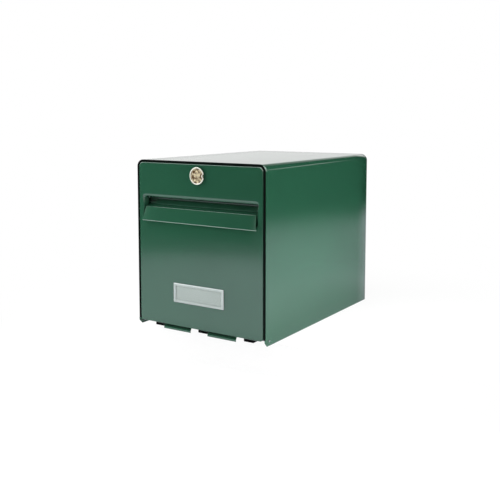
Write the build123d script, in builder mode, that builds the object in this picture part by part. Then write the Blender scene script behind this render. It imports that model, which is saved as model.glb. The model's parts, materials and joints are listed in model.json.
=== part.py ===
from build123d import *
import os

# Parcel-size sheet steel letterbox with a bottom-hinged front door.
# X runs across the box, Y from the door towards the wall, Z up.
# The origin is the middle of the base of the whole box, under its bounding box.

os.makedirs("parts", exist_ok=True)

# Casing
body_width = 280.0
body_depth = 405.0  # from the door's face to the wall
body_height = 312.0
sheet = 1.0  # steel sheet of the casing, door and flap
body_bend = 13.0  # outer radius of the two top bends
floor_height = 9.5  # underside of the floor panel above the base
hem_width = 10.0  # the sides turn in under the box and carry it
hem_bend = 2.0
hem_start = 34.0  # the hems start behind the door's swing
toe_height = 13.0  # below this the sides reach forward to the door's face
toe_chamfer = 8.0
flange = 12.0  # welding flanges of the inner panels
flange_inset = 16.0  # flanges stop this far short of a corner

# Rubber edge trim round the door opening
seal_width = 3.8
seal_depth = 2.2
seal_round = 1.1
seal_leg = 1.8
seal_leg_depth = 6.0

# Door
door_gap = 0.5
door_return = 12.0
door_edge = 2.0  # outer bend radius round the door's face
door_low_corner = 10.0

# Door hinge
hinge_setback = 15.0  # rod axis behind the door's face
hinge_height = 8.7
rod_radius = 2.0
rod_proud = 0.5  # rod ends beyond the casing
running_fit = 0.06  # radial, for every pin that turns
seat_fit = 0.04  # radial, for what is pressed or held
eye_wall = 1.4
leaf_sheet = 1.2
leaf_gap = 9.5  # between a leaf and a bearing block
lip_setback = 4.6  # bend of the leaf's lip behind the door's face
lip_reach = 3.9  # the lip leans forwards by this much
lip_clear = 0.8  # lip above the base
nut_radius = 4.5
nut_thickness = 0.8
nut_gap = 0.2
bearing_width = 19.0
bearing_inset = 41.0  # outer blocks' middle inside the casing's outer face
bearing_top = 13.0
bearing_front = 3.5  # ahead of the rod axis
bearing_leg = 16.0  # behind the rod axis, under the floor
bearing_clear = 0.6
bearing_round = 1.2
bearing_side_gap = 1.2  # beside each block in the door's bottom edge
bearing_rivet = 2.0
rivet_head = 3.6
rivet_head_height = 1.2

# Inner door frame
frame_gap = 1.1
frame_lip = 10.0
frame_sill = 14.5
cam_room = 30.0  # half of the gap in the frame's top flange

# Mail slot and flap
slot_margin = 11.2  # from the door's edge to the end of the slot
slot_drop = 68.5  # from the top of the box to the slot's ceiling
slot_height = 37.5
slot_shoulder = 6.5  # the door's sheet rolls inwards above the slot
slot_ceiling = 3.0
slot_sill = 9.0
slot_cheek = 18.0
slot_cheek_low = 27.0
flap_gap = 3.5  # at each end of the slot
flap_flare = 3.1  # the front leaf widens by this much on each side, over the ends of the slot
flap_axis_setback = 15.0
flap_axis_drop = 2.0
flap_rod_radius = 1.5
flap_crease_setback = 1.6
flap_crease_drop = 18.2
flap_ledge_fall = 1.0  # the flap's ledge slopes down to its front, for rain
flap_reach = 5.5  # the flap's rolled lip ahead of the door's face
flap_lip_radius = 1.5
flap_lip_drop = 6.2  # below the slot's sill
flap_clip_radius = 3.0
flap_clip_thickness = 0.8
buffer_radius = 2.4
buffer_gap = 0.3
buffer_inset = 28.5  # from the end of the slot

# Lock
lock_drop = 24.8  # from the top of the box to the lock's axis
lock_flange_radius = 12.4
lock_flange = 1.5
lock_body_radius = 9.5
lock_nut_radius = 13.5
lock_nut_thickness = 4.0
plug_radius = 6.0
plug_recess = 0.1
keyhole_height = 8.5
keyhole_width = 1.8
keyhole_depth = 12.0
cover_radius = 15.5
cover_gap = 0.3
cover_thickness = 1.2
cover_rim_width = 1.7
cover_rim_height = 0.8
cover_boss_radius = 7.1
cover_boss_drop = 1.7  # below the lock's axis, clear of the rivet
cover_boss_height = 0.5
cover_notch_radius = 3.6
cover_notch_offset = 16.0
cover_pivot = 10.6  # rivet above the lock's axis
cover_rivet_radius = 1.3
cover_rivet_head = 2.5
cover_rivet_height = 0.8
cam_gap = 1.0
cam_thickness = 2.0
cam_length = 21.5
cam_width = 13.0
tang_side = 7.0
tang_fit = 0.1
washer_radius = 5.2
washer_thickness = 0.8
screw_radius = 2.0
screw_length = 8.0
screw_head_radius = 4.0
screw_head_height = 2.4

# Name plate
plate_width = 111.0
plate_height = 35.5
plate_rise = 72.0  # centre above the base
plate_depth = 2.2
plate_border = 4.6
plate_bevel = 1.4
plate_notch = 3.0
plate_notch_offset = 25.0
window_thickness = 0.8
window_margin = 1.6
window_fit = 0.2
card_thickness = 0.4
peg_radius = 1.5
peg_length = 5.0
peg_inset = 3.5  # from the end of the name plate
plate_clip_radius = 3.5
plate_clip_thickness = 0.8

# Fixing holes
wall_hole = 3.5
wall_spacing_x = 180.0
wall_spacing_z = 200.0
base_hole = 3.5
base_spacing_x = 160.0
base_spacing_y = 240.0

# Places that follow from the sizes above
front_y = -(body_depth - flap_reach) / 2
back_y = front_y + body_depth
half_width = body_width / 2
inner_half = half_width - sheet
inner_top = body_height - sheet
floor_top = floor_height + sheet
seal_back = front_y + seal_depth
door_half = half_width - seal_width - door_gap
door_top = body_height - seal_width - door_gap
door_bottom = floor_height
door_corner = body_bend - seal_width - door_gap
door_inside = front_y + sheet
hinge_y = front_y + hinge_setback
bearing_spacing = half_width - bearing_inset
bearing_rivet_y = hinge_y + bearing_leg - bearing_round - rivet_head
leaf_width = bearing_spacing - bearing_width - 2 * leaf_gap
eye_radius = rod_radius + running_fit + eye_wall
frame_y = hinge_y + eye_radius + frame_gap
frame_back = frame_y + sheet
slot_half = door_half - slot_margin
slot_top = body_height - slot_drop
slot_bottom = slot_top - slot_height
shoulder_z = slot_top + slot_shoulder
ceiling_back = front_y + slot_shoulder + slot_ceiling
flap_y = front_y + flap_axis_setback
flap_z = slot_top - flap_axis_drop
flap_half = slot_half - flap_gap
lip_y = front_y - flap_reach + flap_lip_radius
lip_z = slot_bottom - flap_lip_drop + flap_lip_radius
lock_z = body_height - lock_drop
cam_y = frame_back + cam_gap
peg_spacing = plate_width - 2 * peg_inset
lock_end = cam_y - running_fit
cover_back = front_y - lock_flange - cover_gap
cover_front = cover_back - cover_thickness
cover_pivot_z = lock_z + cover_pivot
side_turn = (0, 90, 0)  # turns a cylinder to lie across the box
deep_turn = (90, 0, 0)  # turns a cylinder to lie front to back


def wrap_line(inset):
    """Arch of the casing at this distance inside its outer face, open at the base."""
    side = half_width - inset
    return FilletPolyline(
        (-side, toe_height),
        (-side, body_height - inset),
        (side, body_height - inset),
        (side, toe_height),
        radius=body_bend - inset,
    )


# One sheet makes the left side, top and right side, with hems turned in below
with BuildPart() as casing_wrap:
    with BuildSketch(Plane.XZ.offset(-back_y)):
        with BuildLine():
            FilletPolyline(
                (-half_width + hem_width, sheet / 2),
                (-half_width + sheet / 2, sheet / 2),
                (-half_width + sheet / 2, body_height - sheet / 2),
                (half_width - sheet / 2, body_height - sheet / 2),
                (half_width - sheet / 2, sheet / 2),
                (half_width - hem_width, sheet / 2),
                radius=[
                    hem_bend - sheet / 2,
                    body_bend - sheet / 2,
                    body_bend - sheet / 2,
                    hem_bend - sheet / 2,
                ],
            )
        trace(line_width=sheet)
    extrude(amount=body_depth)
    # hems are cut away under the door's swing
    with Locations((0, front_y, 0)):
        Box(
            2 * inner_half,
            hem_start,
            hem_bend,
            align=(Align.CENTER, Align.MIN, Align.MIN),
            mode=Mode.SUBTRACT,
        )
    # above the toes the front edge stands back to seat the rubber trim
    with Locations((0, front_y, toe_height)):
        Box(
            body_width,
            seal_depth,
            body_height,
            align=(Align.CENTER, Align.MIN, Align.MIN),
            mode=Mode.SUBTRACT,
        )
    with BuildSketch(Plane.YZ):
        with BuildLine():
            Polyline(
                (front_y, 0),
                (front_y + toe_chamfer, 0),
                (front_y, toe_chamfer),
                close=True,
            )
        make_face()
    extrude(amount=half_width, both=True, mode=Mode.SUBTRACT)
    with Locations(Location((0, hinge_y, hinge_height), side_turn)):
        Cylinder(rod_radius + seat_fit, body_width, mode=Mode.SUBTRACT)
casing_wrap.part.label = "casing_wrap"
export_step(casing_wrap.part, "parts/casing_wrap.step")

# Back panel, set inside the wrap, with flanges folded forwards and four wall holes
back_height = inner_top - floor_top
with BuildPart() as back_panel:
    with BuildSketch(Plane.XZ.offset(-back_y)):
        with Locations((0, floor_top + back_height / 2)):
            Rectangle(2 * inner_half, back_height)
        fillet(vertices().group_by(Axis.Y)[-1], body_bend)
        with Locations((0, body_height / 2)):
            with GridLocations(wall_spacing_x, wall_spacing_z, 2, 2):
                Circle(wall_hole, mode=Mode.SUBTRACT)
    extrude(amount=sheet)
    for side in (-1, 1):
        with Locations((side * (inner_half - sheet / 2), back_y, floor_top + flange_inset)):
            Box(
                sheet,
                sheet + flange,
                back_height - 2 * flange_inset,
                align=(Align.CENTER, Align.MAX, Align.MIN),
            )
    with Locations((0, back_y, inner_top)):
        Box(
            2 * (inner_half - flange_inset),
            sheet + flange,
            sheet,
            align=(Align.CENTER, Align.MAX, Align.MAX),
        )
back_panel.part.label = "back_panel"
export_step(back_panel.part, "parts/back_panel.step")

# Floor panel, folded up at both sides and at the front, with four holes for a post plate
floor_depth = back_y - frame_y
side_flange_y = frame_back + sheet + flange
with BuildPart() as floor_panel:
    with BuildSketch(Plane.XY.offset(floor_height)):
        with Locations((0, frame_y)):
            Rectangle(2 * inner_half, floor_depth, align=(Align.CENTER, Align.MIN))
        with Locations((0, (frame_y + back_y) / 2)):
            with GridLocations(base_spacing_x, base_spacing_y, 2, 2):
                Circle(base_hole, mode=Mode.SUBTRACT)
        with Locations((0, bearing_rivet_y)):
            with GridLocations(bearing_spacing, 1, 3, 1):
                Circle(bearing_rivet + seat_fit, mode=Mode.SUBTRACT)
    extrude(amount=sheet)
    for side in (-1, 1):
        with Locations((side * (inner_half - sheet / 2), side_flange_y + sheet, floor_height)):
            Box(
                sheet,
                back_y - side_flange_y - flange - flange_inset,
                sheet + flange,
                align=(Align.CENTER, Align.MIN, Align.MIN),
            )
    with Locations((0, frame_back, floor_height)):
        Box(
            2 * (inner_half - flange_inset),
            sheet,
            sheet + flange,
            align=(Align.CENTER, Align.MIN, Align.MIN),
        )
floor_panel.part.label = "floor_panel"
export_step(floor_panel.part, "parts/floor_panel.step")

# Frame behind the door: stops dust and stray fingers, and the lock's cam hooks behind it
frame_height = inner_top - floor_top
with BuildPart() as front_frame:
    with BuildSketch(Plane.XZ.offset(-frame_back)):
        with Locations((0, floor_top + frame_height / 2)):
            Rectangle(2 * inner_half, frame_height)
        fillet(vertices().group_by(Axis.Y)[-1], body_bend)
        with Locations((0, floor_top + frame_sill)):
            Rectangle(
                2 * (inner_half - frame_lip),
                frame_height - frame_sill - frame_lip,
                align=(Align.CENTER, Align.MIN),
                mode=Mode.SUBTRACT,
            )
    extrude(amount=sheet)
    for side in (-1, 1):
        with Locations((side * (inner_half - sheet / 2), frame_y, floor_top + flange_inset)):
            Box(
                sheet,
                sheet + flange,
                frame_height - 2 * flange_inset,
                align=(Align.CENTER, Align.MIN, Align.MIN),
            )
    # the top flange is cut away behind the lock, where the cam turns up
    top_flange = inner_half - flange_inset - cam_room
    for side in (-1, 1):
        with Locations((side * (cam_room + top_flange / 2), frame_y, inner_top)):
            Box(
                top_flange,
                sheet + flange,
                sheet,
                align=(Align.CENTER, Align.MIN, Align.MAX),
            )
front_frame.part.label = "front_frame"
export_step(front_frame.part, "parts/front_frame.step")

# Rubber trim: a rounded bead over the casing's front edge, with a leg inside the sheet
with BuildPart() as door_seal:
    with BuildSketch(Plane.XZ.offset(-seal_back)):
        with BuildLine():
            wrap_line(seal_width / 2)
        trace(line_width=seal_width)
    extrude(amount=seal_depth)
    fillet(door_seal.faces().sort_by(Axis.Y)[0].edges(), seal_round)
    with BuildSketch(Plane.XZ.offset(-seal_back - seal_leg_depth)):
        with BuildLine():
            wrap_line(sheet + seal_leg / 2)
        trace(line_width=seal_leg)
    extrude(amount=seal_leg_depth)
door_seal.part.label = "door_seal"
export_step(door_seal.part, "parts/door_seal.step")

# Rod right across the box, which the door turns on
with BuildPart() as hinge_rod:
    with Locations(Location((0, hinge_y, hinge_height), side_turn)):
        Cylinder(rod_radius, body_width + 2 * rod_proud)
    fillet(hinge_rod.edges().filter_by(GeomType.CIRCLE), rod_proud)
hinge_rod.part.label = "hinge_rod"
export_step(hinge_rod.part, "parts/hinge_rod.step")

# Push-on washers keep the rod from sliding out sideways
with BuildPart() as rod_push_nuts:
    for side in (-1, 1):
        nut_x = side * (inner_half - nut_gap - nut_thickness / 2)
        with Locations(Location((nut_x, hinge_y, hinge_height), side_turn)):
            Cylinder(nut_radius, nut_thickness)
            Cylinder(rod_radius + seat_fit, nut_thickness, mode=Mode.SUBTRACT)
rod_push_nuts.part.label = "rod_push_nuts"
export_step(rod_push_nuts.part, "parts/rod_push_nuts.step")

# Nylon bearing blocks under the floor's front edge carry the rod
for bearing_name, place in (("left", -1), ("middle", 0), ("right", 1)):
    bearing_x = place * bearing_spacing
    with BuildPart() as hinge_bearing:
        with BuildSketch(Plane.YZ.offset(bearing_x)):
            with BuildLine():
                Polyline(
                    (hinge_y - bearing_front, bearing_clear),
                    (hinge_y + bearing_leg, bearing_clear),
                    (hinge_y + bearing_leg, floor_height),
                    (frame_y, floor_height),
                    (frame_y, bearing_top),
                    (hinge_y - bearing_front, bearing_top),
                    close=True,
                )
            make_face()
            fillet(vertices().group_by(Axis.X)[0], bearing_round)
            with Locations((hinge_y, hinge_height)):
                Circle(rod_radius + seat_fit, mode=Mode.SUBTRACT)
        extrude(amount=bearing_width / 2, both=True)
        with Locations((bearing_x, bearing_rivet_y, floor_height / 2)):
            Cylinder(bearing_rivet + seat_fit, floor_height, mode=Mode.SUBTRACT)
    hinge_bearing.part.label = f"hinge_bearing_{bearing_name}"
    export_step(hinge_bearing.part, f"parts/hinge_bearing_{bearing_name}.step")

# Rivets hold the bearing blocks to the floor panel
with BuildPart() as bearing_rivets:
    with Locations((0, bearing_rivet_y, 0)):
        with GridLocations(bearing_spacing, 1, 3, 1):
            with Locations((0, 0, bearing_clear)):
                Cylinder(
                    bearing_rivet,
                    floor_top - bearing_clear,
                    align=(Align.CENTER, Align.CENTER, Align.MIN),
                )
            with Locations((0, 0, floor_top)):
                Cylinder(
                    rivet_head,
                    rivet_head_height,
                    align=(Align.CENTER, Align.CENTER, Align.MIN),
                )
bearing_rivets.part.label = "bearing_rivets"
export_step(bearing_rivets.part, "parts/bearing_rivets.step")

# Door: a shallow pan with its sheet rolled inwards round the mail slot
door_height = door_top - door_bottom
return_end = hinge_y - eye_radius - frame_gap / 2
with BuildPart() as door_panel:
    with BuildSketch(Plane.XZ.offset(-front_y - door_return)):
        with Locations((0, door_bottom + door_height / 2)):
            Rectangle(2 * door_half, door_height)
        fillet(vertices().group_by(Axis.Y)[-1], door_corner)
        fillet(vertices().group_by(Axis.Y)[0], door_low_corner)
    extrude(amount=door_return)
    fillet(door_panel.faces().sort_by(Axis.Y)[0].edges(), door_edge)
    offset(amount=-sheet, openings=door_panel.faces().sort_by(Axis.Y)[-1])
    # the bottom return stops ahead of the hinge eyes
    with Locations((0, return_end, 0)):
        Box(
            2 * (door_half - door_low_corner),
            door_return,
            floor_top,
            align=(Align.CENTER, Align.MIN, Align.MIN),
            mode=Mode.SUBTRACT,
        )
    # and is notched where the bearing blocks stand
    notch_reach = ((hinge_height - bearing_clear) ** 2 + bearing_front**2) ** 0.5
    with Locations((0, hinge_y - notch_reach - frame_gap / 2, 0)):
        with GridLocations(bearing_spacing, 1, 3, 1):
            Box(
                bearing_width + 2 * bearing_side_gap,
                door_return,
                floor_top,
                align=(Align.CENTER, Align.MIN, Align.MIN),
                mode=Mode.SUBTRACT,
            )
    # mail slot
    with Locations((0, front_y, slot_bottom)):
        Box(
            2 * slot_half,
            sheet,
            shoulder_z - slot_bottom,
            align=(Align.CENTER, Align.MIN, Align.MIN),
            mode=Mode.SUBTRACT,
        )
    with BuildSketch(Plane.YZ):
        with BuildLine():
            RadiusArc(
                (front_y + sheet / 2, shoulder_z),
                (front_y + slot_shoulder, slot_top + sheet / 2),
                slot_shoulder - sheet / 2,
            )
            Line(
                (front_y + slot_shoulder, slot_top + sheet / 2),
                (ceiling_back, slot_top + sheet / 2),
            )
        trace(line_width=sheet)
    extrude(amount=slot_half + sheet, both=True)
    with Locations((0, front_y, slot_bottom)):
        Box(
            2 * (slot_half + sheet),
            slot_sill,
            sheet,
            align=(Align.CENTER, Align.MIN, Align.MAX),
        )
    for side in (-1, 1):
        with BuildSketch(Plane.YZ.offset(side * (slot_half + sheet / 2))):
            with BuildLine():
                Polyline(
                    (front_y + sheet / 2, slot_bottom - sheet),
                    (front_y + slot_sill, slot_bottom - sheet),
                    (front_y + slot_cheek, slot_bottom + slot_cheek_low),
                    (front_y + slot_cheek, shoulder_z),
                    (front_y + sheet / 2, shoulder_z),
                    close=True,
                )
            make_face()
        extrude(amount=sheet / 2, both=True)
    with Locations(Location((0, flap_y, flap_z), side_turn)):
        Cylinder(flap_rod_radius + seat_fit, body_width, mode=Mode.SUBTRACT)
    # lock and name plate holes
    with Locations(Location((0, door_inside, lock_z), deep_turn)):
        Cylinder(lock_body_radius + seat_fit, 2 * door_edge, mode=Mode.SUBTRACT)
    with Locations((0, door_inside, plate_rise)):
        with GridLocations(peg_spacing, 1, 2, 1):
            with Locations(Location((0, 0, 0), deep_turn)):
                Cylinder(peg_radius + seat_fit, 2 * door_edge, mode=Mode.SUBTRACT)
door_panel.part.label = "door_panel"
export_step(door_panel.part, "parts/door_panel.step")

# Hinge leaves: an eye round the rod, a plate under the door and a lip that leans forwards
leaf_top = door_bottom
plate_z = leaf_top - leaf_sheet / 2
lip_foot_z = lip_clear + leaf_sheet / 2
lip_bend_y = front_y + lip_setback
for leaf_name, side in (("left", -1), ("right", 1)):
    with BuildPart() as hinge_leaf:
        with BuildSketch(Plane.YZ.offset(side * bearing_spacing / 2)):
            with BuildLine():
                Polyline(
                    (lip_bend_y - lip_reach, lip_foot_z),
                    (lip_bend_y, plate_z),
                    (hinge_y, plate_z),
                )
            trace(line_width=leaf_sheet)
            with Locations((hinge_y, hinge_height)):
                Circle(eye_radius)
                Circle(rod_radius + running_fit, mode=Mode.SUBTRACT)
        extrude(amount=leaf_width / 2, both=True)
    hinge_leaf.part.label = f"hinge_leaf_{leaf_name}"
    export_step(hinge_leaf.part, f"parts/hinge_leaf_{leaf_name}.step")

# Flap: hangs from its rod, steps forward in a ledge, leans outwards and ends in a rolled lip
crease_y = front_y + flap_crease_setback + sheet / 2
crease_z = slot_top - flap_crease_drop
with BuildPart() as slot_flap:
    with BuildSketch(Plane.YZ):
        with BuildLine():
            Polyline(
                (flap_y, flap_z),
                (flap_y, crease_z + flap_ledge_fall),
                (crease_y, crease_z),
                (lip_y - flap_lip_radius + sheet / 2, lip_z),
            )
        trace(line_width=sheet)
        with Locations((lip_y, lip_z)):
            Circle(flap_lip_radius)
        with Locations((flap_y, flap_z)):
            Circle(flap_rod_radius + running_fit + sheet)
            Circle(flap_rod_radius + running_fit, mode=Mode.SUBTRACT)
    extrude(amount=flap_half + flap_flare, both=True)
    with BuildSketch(Plane.XZ):
        Polygon(
            (-flap_half, shoulder_z),
            (-flap_half, crease_z),
            (-flap_half - flap_flare, lip_z),
            (-flap_half - flap_flare, lip_z - 2 * flap_lip_radius),
            (flap_half + flap_flare, lip_z - 2 * flap_lip_radius),
            (flap_half + flap_flare, lip_z),
            (flap_half, crease_z),
            (flap_half, shoulder_z),
            align=None,
        )
    extrude(amount=body_depth, both=True, mode=Mode.INTERSECT)
slot_flap.part.label = "slot_flap"
export_step(slot_flap.part, "parts/slot_flap.step")

# Rod of the flap, through the cheeks beside the slot
flap_rod_half = slot_half + sheet + nut_gap + 2 * flap_clip_thickness
with BuildPart() as flap_rod:
    with Locations(Location((0, flap_y, flap_z), side_turn)):
        Cylinder(flap_rod_radius, 2 * flap_rod_half)
flap_rod.part.label = "flap_rod"
export_step(flap_rod.part, "parts/flap_rod.step")

with BuildPart() as flap_rod_clips:
    for side in (-1, 1):
        clip_x = side * (slot_half + sheet + nut_gap + flap_clip_thickness / 2)
        with Locations(Location((clip_x, flap_y, flap_z), side_turn)):
            Cylinder(flap_clip_radius, flap_clip_thickness)
            Cylinder(flap_rod_radius + seat_fit, flap_clip_thickness, mode=Mode.SUBTRACT)
flap_rod_clips.part.label = "flap_rod_clips"
export_step(flap_rod_clips.part, "parts/flap_rod_clips.step")

# Rubber buffers that the lip closes on
buffer_height = flap_reach - 2 * flap_lip_radius - buffer_gap
with BuildPart() as flap_buffers:
    with Locations((0, front_y - buffer_height / 2, lip_z)):
        with GridLocations(2 * (slot_half - buffer_inset), 1, 2, 1):
            with Locations(Location((0, 0, 0), deep_turn)):
                Cylinder(buffer_radius, buffer_height)
flap_buffers.part.label = "flap_buffers"
export_step(flap_buffers.part, "parts/flap_buffers.step")

# Lock barrel: a flange outside the door and a body through it
with BuildPart() as lock_housing:
    with BuildSketch(Plane.XZ.offset(-lock_end)):
        with Locations((0, lock_z)):
            Circle(lock_body_radius)
    extrude(amount=lock_end - front_y)
    with BuildSketch(Plane.XZ.offset(-front_y)):
        with Locations((0, lock_z)):
            Circle(lock_flange_radius)
    extrude(amount=lock_flange)
    with Locations(Location((0, front_y, lock_z), deep_turn)):
        Cylinder(plug_radius + running_fit, body_depth, mode=Mode.SUBTRACT)
    with Locations(Location((0, front_y, cover_pivot_z), deep_turn)):
        Cylinder(cover_rivet_radius + seat_fit, 2 * lock_flange, mode=Mode.SUBTRACT)
lock_housing.part.label = "lock_housing"
export_step(lock_housing.part, "parts/lock_housing.step")

with BuildPart() as lock_nut:
    with BuildSketch(Plane.XZ.offset(-door_inside)):
        with Locations((0, lock_z)):
            RegularPolygon(lock_nut_radius, 6)
            Circle(lock_body_radius + seat_fit, mode=Mode.SUBTRACT)
    extrude(amount=-lock_nut_thickness)
lock_nut.part.label = "lock_nut"
export_step(lock_nut.part, "parts/lock_nut.step")

# Plug: turns in the barrel, with a keyway in front and a square tang for the cam
plug_front = front_y - lock_flange + plug_recess
tang_end = cam_y + cam_thickness
with BuildPart() as lock_plug:
    with BuildSketch(Plane.XZ.offset(-lock_end)):
        with Locations((0, lock_z)):
            Circle(plug_radius)
    extrude(amount=lock_end - plug_front)
    with BuildSketch(Plane.XZ.offset(-tang_end)):
        with Locations((0, lock_z)):
            Rectangle(tang_side, tang_side)
    extrude(amount=tang_end - lock_end)
    with Locations((0, plug_front, lock_z)):
        Box(
            keyhole_width,
            keyhole_depth,
            keyhole_height,
            align=(Align.CENTER, Align.MIN, Align.CENTER),
            mode=Mode.SUBTRACT,
        )
    with Locations(Location((0, tang_end, lock_z), deep_turn)):
        Cylinder(screw_radius + seat_fit, 2 * screw_length, mode=Mode.SUBTRACT)
lock_plug.part.label = "lock_plug"
export_step(lock_plug.part, "parts/lock_plug.step")

# Cover over the keyhole: swings on a rivet, with a raised rim and a thumb notch
with BuildPart() as lock_dust_cover:
    with BuildSketch(Plane.XZ.offset(-cover_back)):
        with Locations((0, lock_z)):
            Circle(cover_radius)
    extrude(amount=cover_thickness)
    with BuildSketch(Plane.XZ.offset(-cover_front)):
        with Locations((0, lock_z)):
            Circle(cover_radius)
            Circle(cover_radius - cover_rim_width, mode=Mode.SUBTRACT)
    extrude(amount=cover_rim_height)
    with BuildSketch(Plane.XZ.offset(-cover_front)):
        with Locations((0, lock_z - cover_boss_drop)):
            Circle(cover_boss_radius)
    extrude(amount=cover_boss_height)
    with Locations(Location((cover_notch_offset, front_y, lock_z), deep_turn)):
        Cylinder(cover_notch_radius, 4 * cover_radius, mode=Mode.SUBTRACT)
    with Locations(Location((0, front_y, cover_pivot_z), deep_turn)):
        Cylinder(cover_rivet_radius + running_fit, 4 * cover_radius, mode=Mode.SUBTRACT)
lock_dust_cover.part.label = "lock_dust_cover"
export_step(lock_dust_cover.part, "parts/lock_dust_cover.step")

with BuildPart() as dust_cover_rivet:
    with BuildSketch(Plane.XZ.offset(-front_y)):
        with Locations((0, cover_pivot_z)):
            Circle(cover_rivet_radius)
    extrude(amount=front_y - cover_front + running_fit)
    with BuildSketch(Plane.XZ.offset(-cover_front + running_fit)):
        with Locations((0, cover_pivot_z)):
            Circle(cover_rivet_head)
    extrude(amount=cover_rivet_height)
    fillet(dust_cover_rivet.faces().sort_by(Axis.Y)[0].edges(), cover_rivet_height / 2)
dust_cover_rivet.part.label = "dust_cover_rivet"
export_step(dust_cover_rivet.part, "parts/dust_cover_rivet.step")

# Cam: lies sideways when unlocked, and turns up behind the frame's top rail to lock
with BuildPart() as lock_cam:
    with BuildSketch(Plane.XZ.offset(-cam_y)):
        with Locations((0, lock_z)):
            Circle(cam_width / 2)
            Rectangle(
                cam_length - cam_width / 4,
                cam_width,
                align=(Align.MIN, Align.CENTER),
            )
        with Locations((cam_length - cam_width / 2, lock_z)):
            Circle(cam_width / 2)
        with Locations((0, lock_z)):
            Rectangle(tang_side + 2 * tang_fit, tang_side + 2 * tang_fit, mode=Mode.SUBTRACT)
    extrude(amount=-cam_thickness)
lock_cam.part.label = "lock_cam"
export_step(lock_cam.part, "parts/lock_cam.step")

with BuildPart() as cam_washer:
    with BuildSketch(Plane.XZ.offset(-tang_end)):
        with Locations((0, lock_z)):
            Circle(washer_radius)
            Circle(screw_radius + seat_fit, mode=Mode.SUBTRACT)
    extrude(amount=-washer_thickness)
cam_washer.part.label = "cam_washer"
export_step(cam_washer.part, "parts/cam_washer.step")

head_y = tang_end + washer_thickness
with BuildPart() as cam_screw:
    with BuildSketch(Plane.XZ.offset(-head_y)):
        with Locations((0, lock_z)):
            Circle(screw_head_radius)
    extrude(amount=-screw_head_height)
    with BuildSketch(Plane.XZ.offset(-head_y)):
        with Locations((0, lock_z)):
            Circle(screw_radius)
    extrude(amount=screw_length)
    with Locations((0, head_y + screw_head_height, lock_z)):
        Box(
            2 * screw_head_radius,
            screw_head_height,
            washer_thickness,
            mode=Mode.SUBTRACT,
        )
cam_screw.part.label = "cam_screw"
export_step(cam_screw.part, "parts/cam_screw.step")

# Name plate: a bevelled frame pegged through the door, over a clear window and a card
opening_width = plate_width - 2 * plate_border
opening_height = plate_height - 2 * plate_border
pocket_depth = window_thickness + card_thickness
with BuildPart() as nameplate_frame:
    with BuildSketch(Plane.XZ.offset(-front_y)):
        with Locations((0, plate_rise)):
            Rectangle(plate_width, plate_height)
    extrude(amount=plate_depth)
    chamfer(nameplate_frame.faces().sort_by(Axis.Y)[0].edges(), plate_bevel)
    with Locations((0, front_y, plate_rise)):
        Box(opening_width, 2 * plate_depth, opening_height, mode=Mode.SUBTRACT)
        Box(
            opening_width + 2 * window_margin,
            2 * pocket_depth,
            opening_height + 2 * window_margin,
            mode=Mode.SUBTRACT,
        )
    with Locations((plate_notch_offset, front_y, plate_rise + plate_height / 2)):
        Box(plate_notch, 2 * plate_depth, plate_notch, mode=Mode.SUBTRACT)
    with Locations((0, front_y + peg_length / 2, plate_rise)):
        with GridLocations(peg_spacing, 1, 2, 1):
            with Locations(Location((0, 0, 0), deep_turn)):
                Cylinder(peg_radius, peg_length)
nameplate_frame.part.label = "nameplate_frame"
export_step(nameplate_frame.part, "parts/nameplate_frame.step")

window_width = opening_width + 2 * (window_margin - window_fit)
window_height = opening_height + 2 * (window_margin - window_fit)
with BuildPart() as nameplate_window:
    with Locations((0, front_y - card_thickness, plate_rise)):
        Box(
            window_width,
            window_thickness,
            window_height,
            align=(Align.CENTER, Align.MAX, Align.CENTER),
        )
nameplate_window.part.label = "nameplate_window"
export_step(nameplate_window.part, "parts/nameplate_window.step")

with BuildPart() as name_card:
    with Locations((0, front_y, plate_rise)):
        Box(
            window_width,
            card_thickness,
            window_height,
            align=(Align.CENTER, Align.MAX, Align.CENTER),
        )
name_card.part.label = "name_card"
export_step(name_card.part, "parts/name_card.step")

with BuildPart() as nameplate_clips:
    with Locations((0, door_inside + plate_clip_thickness / 2, plate_rise)):
        with GridLocations(peg_spacing, 1, 2, 1):
            with Locations(Location((0, 0, 0), deep_turn)):
                Cylinder(plate_clip_radius, plate_clip_thickness)
                Cylinder(peg_radius + seat_fit, plate_clip_thickness, mode=Mode.SUBTRACT)
nameplate_clips.part.label = "nameplate_clips"
export_step(nameplate_clips.part, "parts/nameplate_clips.step")
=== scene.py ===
import json
import math

import bpy
import numpy as np
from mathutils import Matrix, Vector


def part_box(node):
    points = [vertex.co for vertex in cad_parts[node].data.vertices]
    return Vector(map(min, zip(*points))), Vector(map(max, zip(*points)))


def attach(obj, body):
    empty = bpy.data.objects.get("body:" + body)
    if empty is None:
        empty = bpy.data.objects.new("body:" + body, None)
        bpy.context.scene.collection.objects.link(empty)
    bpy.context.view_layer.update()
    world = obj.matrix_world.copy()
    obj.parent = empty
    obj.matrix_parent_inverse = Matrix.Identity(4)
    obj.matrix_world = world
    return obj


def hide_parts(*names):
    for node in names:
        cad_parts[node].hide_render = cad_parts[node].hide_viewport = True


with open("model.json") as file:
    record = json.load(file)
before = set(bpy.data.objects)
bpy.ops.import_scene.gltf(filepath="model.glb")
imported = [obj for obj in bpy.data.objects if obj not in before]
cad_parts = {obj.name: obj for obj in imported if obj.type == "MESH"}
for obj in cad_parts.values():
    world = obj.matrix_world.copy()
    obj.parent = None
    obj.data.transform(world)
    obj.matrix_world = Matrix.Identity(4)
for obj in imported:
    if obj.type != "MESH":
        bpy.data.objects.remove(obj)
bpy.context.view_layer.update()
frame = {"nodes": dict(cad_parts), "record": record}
nodes = frame["nodes"]
mm = 0.001  # one millimetre in Blender's metres
print("frame loaded,", len(nodes), "nodes")


def nodeBox(name):
    # lowest and highest corner of a node, in millimetres
    low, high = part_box(name)
    return np.array(low) / mm, np.array(high) / mm


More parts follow.
